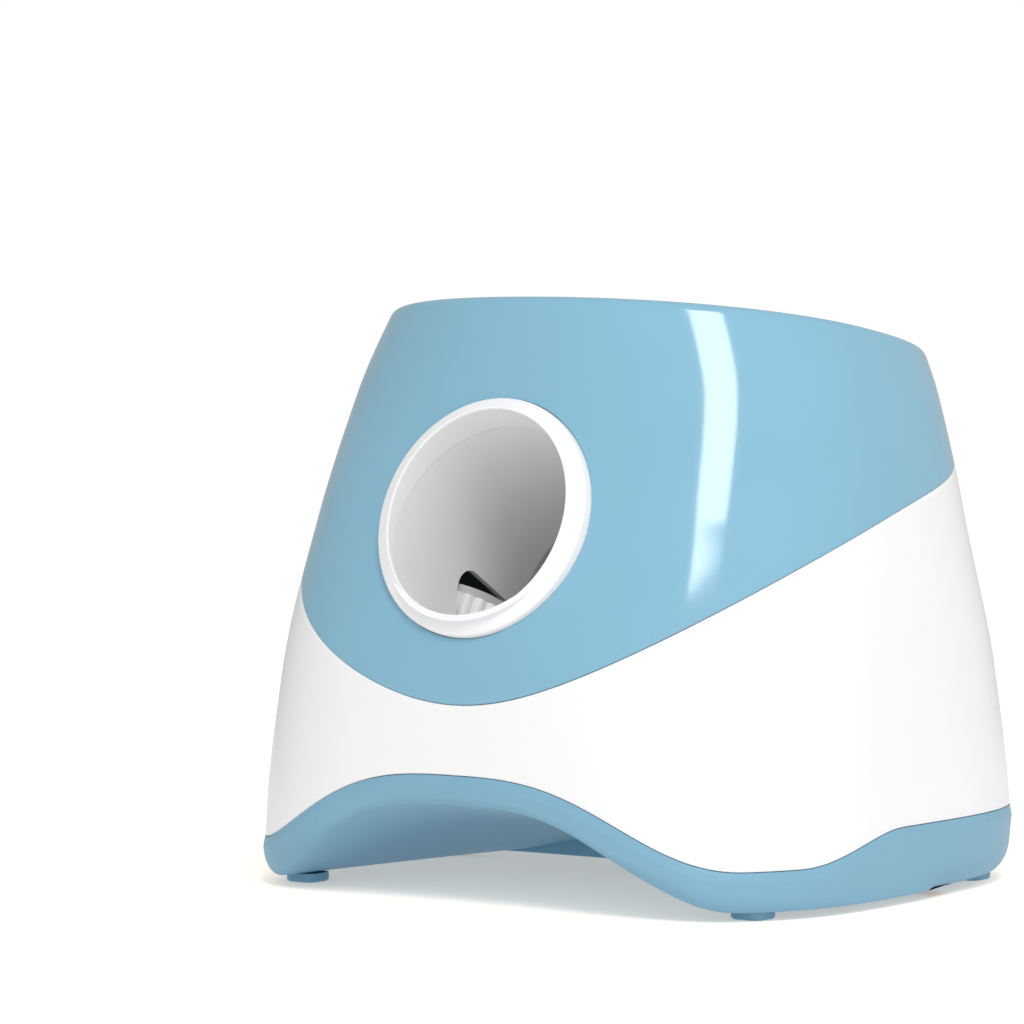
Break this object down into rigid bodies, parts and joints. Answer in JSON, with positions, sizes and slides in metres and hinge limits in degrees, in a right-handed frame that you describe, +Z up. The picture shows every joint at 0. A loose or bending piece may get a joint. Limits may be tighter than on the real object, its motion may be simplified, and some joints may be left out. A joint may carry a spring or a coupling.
{
  "type": "automatic dog ball launcher",
  "caption": "Rounded tabletop ball launcher: hopper in the top feeds a gate and two launch wheels behind a raised ring in the front.",
  "frame": {"origin": "on the floor, under the middle of the body", "axes": "+Z up, -Y towards the launch mouth, +X to the launcher's left"},
  "size_m": [0.264, 0.251, 0.2292],
  "materials": {
    "blue_plastic": "glossy",
    "base_blue_plastic": "satin",
    "white_plastic": "glossy",
    "barrel_plastic": "satin",
    "grey_plastic": "matte",
    "dark_plastic": "matte",
    "gear_plastic": "satin",
    "wheel_rubber": "matte",
    "motor_steel": "satin",
    "screw_steel": "zinc plated",
    "contact_metal": "nickel plated",
    "cell_wrap": "satin",
    "board_green": "satin",
    "lens_clear": "clear"
  },
  "bodies": {
    "launcher": {"ball_switch": "dark_plastic", "base_screws": "screw_steel", "base_tray": "base_blue_plastic", "battery_cell_1": "cell_wrap", "battery_cell_2": "cell_wrap", "battery_cell_3": "cell_wrap", "battery_cell_4": "cell_wrap", "battery_contacts": "contact_metal", "battery_door": "base_blue_plastic", "battery_door_screw": "screw_steel", "board_screws": "screw_steel", "chute_screws": "screw_steel", "control_panel": "white_plastic", "dc_jack": "dark_plastic", "feed_chute": "barrel_plastic", "foot_front_left": "base_blue_plastic", "foot_front_right": "base_blue_plastic", "foot_rear_left": "base_blue_plastic", "foot_rear_right": "base_blue_plastic", "gate_gearbox": "dark_plastic", "gate_motor": "motor_steel", "gate_pin": "screw_steel", "gate_screws": "screw_steel", "hood": "blue_plastic", "hood_screws": "screw_steel", "hopper_bowl": "blue_plastic", "indicator_lenses": "lens_clear", "launch_barrel": "barrel_plastic", "launch_ring": "white_plastic", "lever_pin": "screw_steel", "lower_shell": "white_plastic", "main_board": "board_green", "motor_cap_left": "dark_plastic", "motor_cap_right": "dark_plastic", "motor_screws": "screw_steel", "ring_screws": "screw_steel", "wheel_motor_left": "motor_steel", "wheel_motor_right": "motor_steel"},
    "left_wheel": {"launch_wheel_left": "wheel_rubber", "wheel_hub_left": "grey_plastic", "wheel_shaft_left": "screw_steel"},
    "right_wheel": {"launch_wheel_right": "wheel_rubber", "wheel_hub_right": "grey_plastic", "wheel_shaft_right": "screw_steel"},
    "gate": {"gate_arm": "gear_plastic"},
    "gate_drive": {"gate_pinion": "gear_plastic", "gate_motor_shaft": "screw_steel"},
    "lever": {"ball_lever": "gear_plastic"},
    "power_key": {"power_button": "blue_plastic"},
    "distance_key": {"distance_button": "blue_plastic"}
  },
  "joints": [
    {"name": "left_wheel_spin", "type": "hinge", "parent": "launcher", "child": "left_wheel", "pos_m": [0.055, -0.04088, 0.1089], "axis": [0, 0.5, 0.866], "continuous": true},
    {"name": "right_wheel_spin", "type": "hinge", "parent": "launcher", "child": "right_wheel", "pos_m": [-0.055, -0.04088, 0.1089], "axis": [0, 0.5, 0.866], "continuous": true},
    {"name": "gate_swing", "type": "hinge", "parent": "launcher", "child": "gate", "pos_m": [0.05, 0.007, 0.12886], "axis": [0, -1, 0], "range_deg": [0, 70]},
    {"name": "gate_pinion_turn", "type": "hinge", "parent": "launcher", "child": "gate_drive", "pos_m": [0.07923, 0.007, 0.14573], "axis": [0, -1, 0], "range_deg": [-200.5, 0.5]},
    {"name": "lever_swing", "type": "hinge", "parent": "launcher", "child": "lever", "pos_m": [-0.048, 0.038, 0.12717], "axis": [0, 1, 0], "range_deg": [0, 10], "stiffness_Nm_per_rad": 0.02, "springref_deg": -5.73},
    {"name": "power_press", "type": "slide", "parent": "launcher", "child": "power_key", "axis": [0, -0.9641, -0.2655], "range_m": [0, 0.0012], "stiffness_N_per_m": 600},
    {"name": "distance_press", "type": "slide", "parent": "launcher", "child": "distance_key", "axis": [0, -0.9641, -0.2655], "range_m": [0, 0.0012], "stiffness_N_per_m": 600}
  ],
  "couplings": [
    {"joint": "gate_pinion_turn", "follows": "gate_swing", "ratio": -2.8571}
  ]
}
